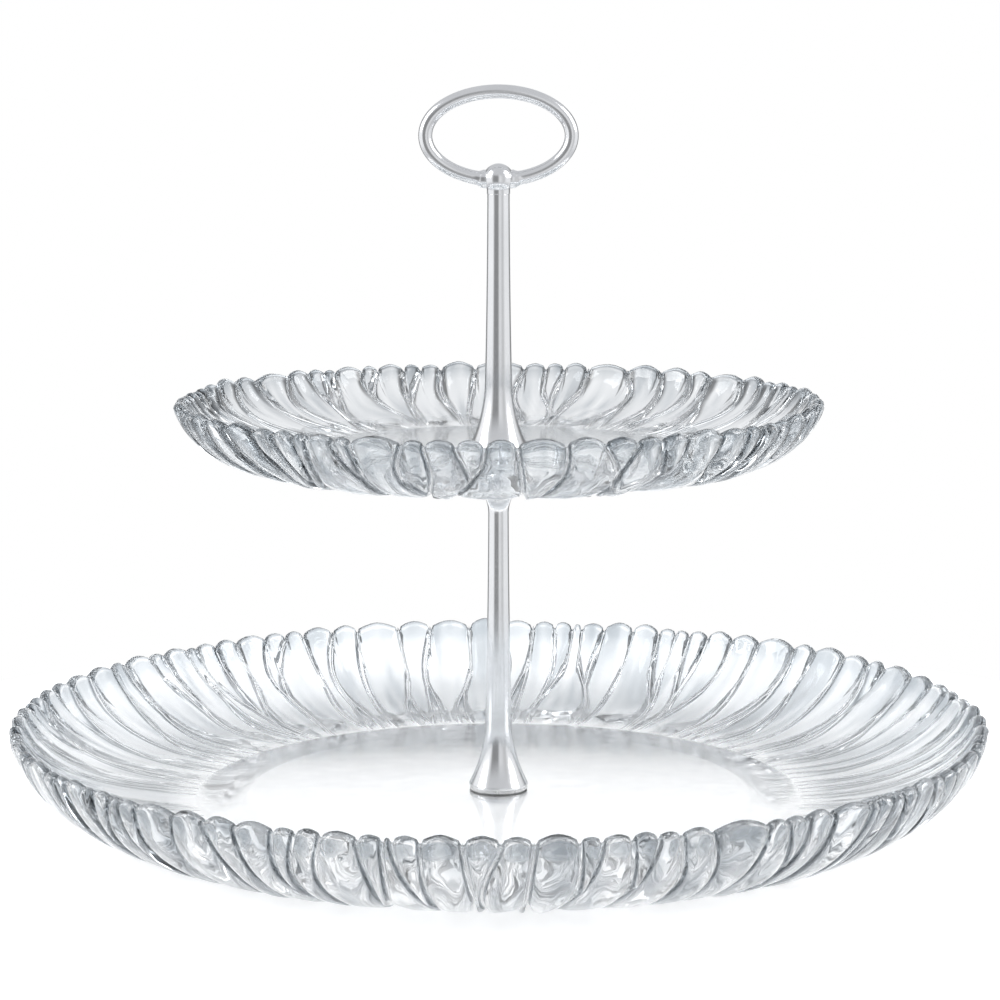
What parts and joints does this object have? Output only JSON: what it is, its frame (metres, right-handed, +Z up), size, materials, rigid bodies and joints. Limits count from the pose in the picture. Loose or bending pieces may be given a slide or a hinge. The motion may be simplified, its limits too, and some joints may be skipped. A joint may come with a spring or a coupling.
{
  "type": "tiered cake stand",
  "caption": "Two fluted round glass dishes, a larger one below, clamped on a flared metal post with an oval ring handle, for serving cakes.",
  "frame": {"origin": "on the table, under the middle of the post, at the centre of the lower dish's foot", "axes": "+Z up along the post, +X along the width of the oval ring handle, +Y through the ring"},
  "size_m": [0.32, 0.32, 0.238],
  "materials": {
    "clear_glass": "fire-polished pressed soda-lime glass",
    "satin_chrome": "satin chrome plating",
    "clear_plastic": "soft clear PVC",
    "brass": "machined",
    "zinc_steel": "bright zinc plating"
  },
  "bodies": {
    "lower_tier": {"lower_plate": "clear_glass", "lower_plate_gasket": "clear_plastic", "lower_plate_under_gasket": "clear_plastic"},
    "lower_post": {"lower_column": "satin_chrome", "lower_column_insert": "brass", "joining_stud": "zinc_steel"},
    "upper_tier": {"upper_plate": "clear_glass", "upper_plate_under_gasket": "clear_plastic"},
    "top_gasket": {"upper_plate_top_gasket": "clear_plastic"},
    "handle": {"upper_column": "satin_chrome", "upper_column_insert": "brass", "handle_ball": "satin_chrome", "handle_ring": "satin_chrome"},
    "base_washers": {"base_washer": "zinc_steel", "spring_washer": "zinc_steel"},
    "base_screw": {"base_screw": "zinc_steel"}
  },
  "joints": [
    {"name": "post_turn", "type": "hinge", "parent": "lower_tier", "child": "lower_post", "pos_m": [0, 0, 0.0086], "axis": [0, 0, 1], "continuous": true},
    {"name": "upper_plate_turn", "type": "hinge", "parent": "lower_post", "child": "upper_tier", "pos_m": [0, 0, 0.1164], "axis": [0, 0, 1], "continuous": true},
    {"name": "handle_lift", "type": "slide", "parent": "lower_post", "child": "top_gasket", "axis": [0, 0, 1], "range_m": [0, 0.00975]},
    {"name": "handle_unscrew", "type": "hinge", "parent": "top_gasket", "child": "handle", "pos_m": [0, 0, 0.121], "axis": [0, 0, 1], "range_deg": [0, 3511]},
    {"name": "base_screw_drop", "type": "slide", "parent": "lower_post", "child": "base_washers", "axis": [0, 0, -1], "range_m": [0, 0.00925]},
    {"name": "base_screw_turn", "type": "hinge", "parent": "base_washers", "child": "base_screw", "pos_m": [0, 0, 0.002], "axis": [0, 0, -1], "range_deg": [0, 3331]}
  ],
  "couplings": [
    {"joint": "handle_unscrew", "follows": "handle_lift", "rad_per_m": 6283.2},
    {"joint": "base_screw_turn", "follows": "base_screw_drop", "rad_per_m": 6283.2}
  ]
}
